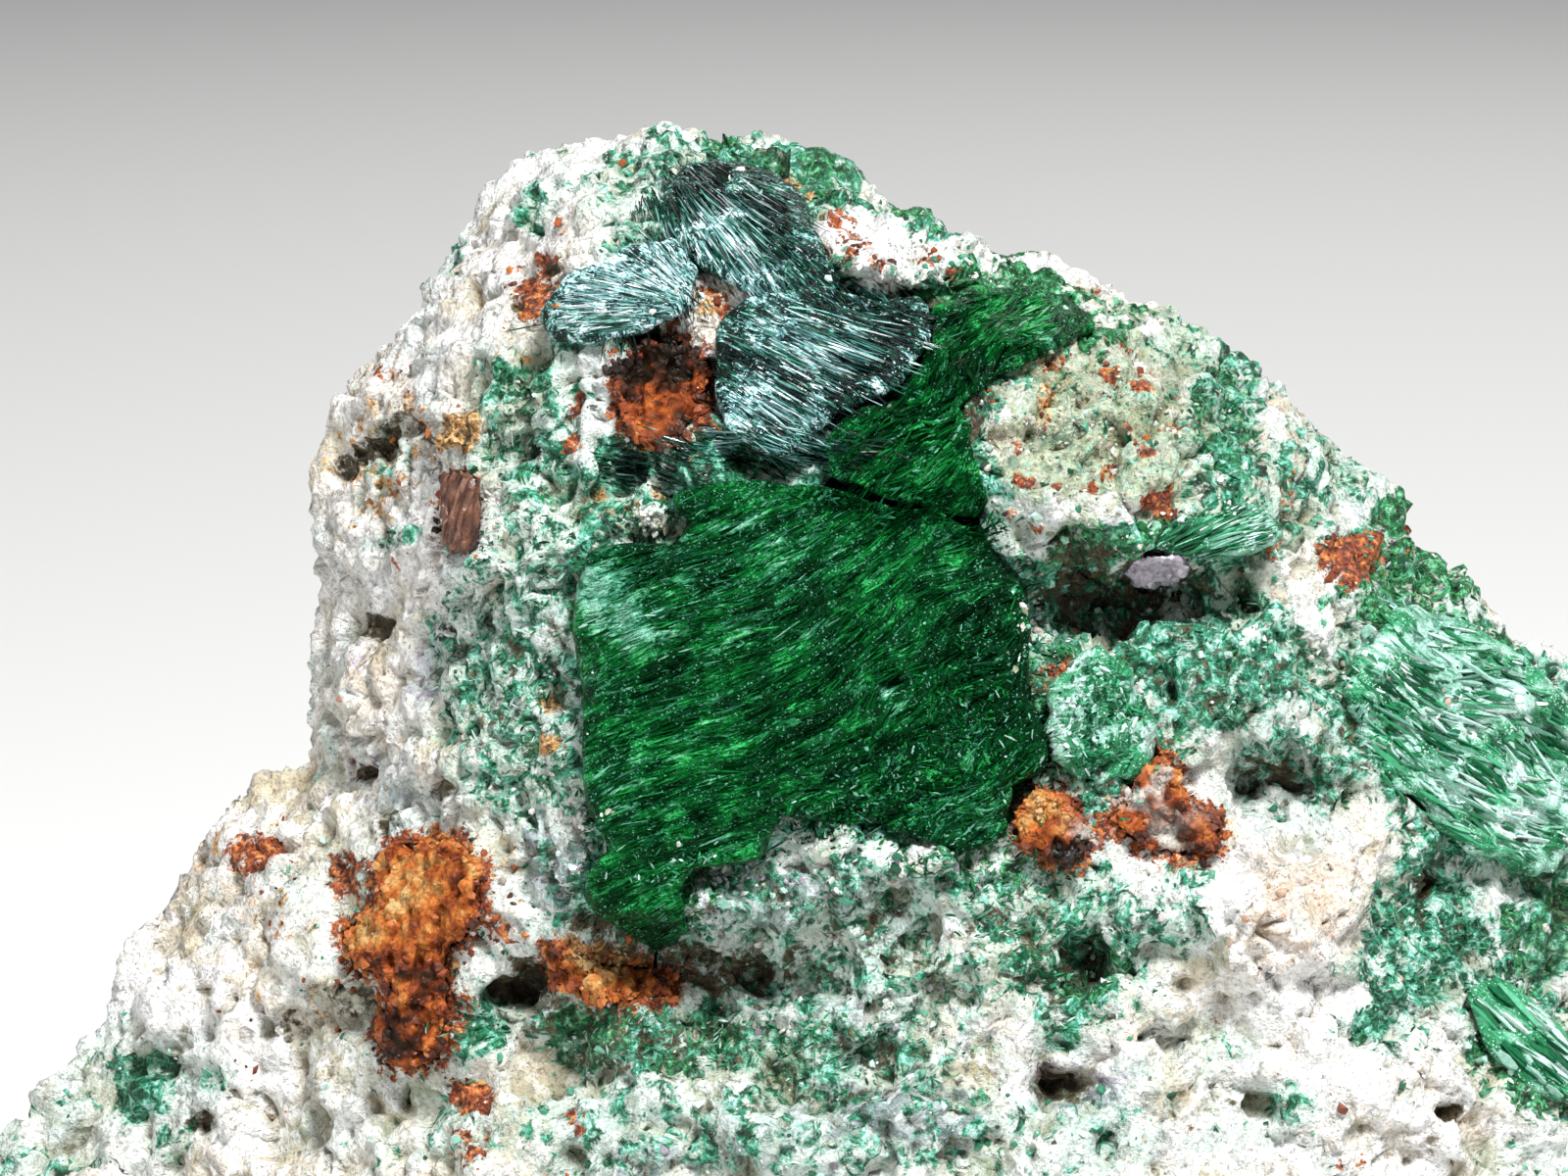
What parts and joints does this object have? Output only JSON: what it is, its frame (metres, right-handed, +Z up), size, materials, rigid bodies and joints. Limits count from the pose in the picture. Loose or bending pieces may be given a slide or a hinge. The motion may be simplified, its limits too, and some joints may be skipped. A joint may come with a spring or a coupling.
{
  "type": "szenicsite mineral specimen",
  "caption": "Rough pale rock with a patch of emerald szenicsite blades, silky green sprays and rusty iron oxide crusts, cut flat below so that it rests upright.",
  "frame": {"origin": "on the flat cut base, near its middle", "axes": "+Z up, -Y towards the viewer of the crystal face, +X to that viewer's right along the longest side"},
  "size_m": [0.0512, 0.0296, 0.0319],
  "materials": {
    "rock": "matte",
    "emerald_szenicsite": "gloss",
    "silky_szenicsite": "satin",
    "ochre_crust": "matte",
    "rust_crust": "matte",
    "brown_mineral": "satin",
    "quartz": "gloss"
  },
  "bodies": {
    "root": {"matrix": "rock", "szenicsite_main": "emerald_szenicsite", "szenicsite_upper": "emerald_szenicsite", "szenicsite_fan_centre": "silky_szenicsite", "szenicsite_fan_upper": "silky_szenicsite", "szenicsite_fan_left": "silky_szenicsite", "szenicsite_spray_right": "emerald_szenicsite", "szenicsite_patch_right": "emerald_szenicsite", "szenicsite_blades_right": "emerald_szenicsite", "szenicsite_blade_corner": "emerald_szenicsite", "iron_oxide_pocket": "ochre_crust", "iron_oxide_hollow": "rust_crust", "iron_oxide_crust_left": "ochre_crust", "iron_oxide_plates_right": "rust_crust", "iron_oxide_lobe": "rust_crust", "brown_prism": "brown_mineral", "quartz_grain": "quartz"}
  },
  "joints": []
}
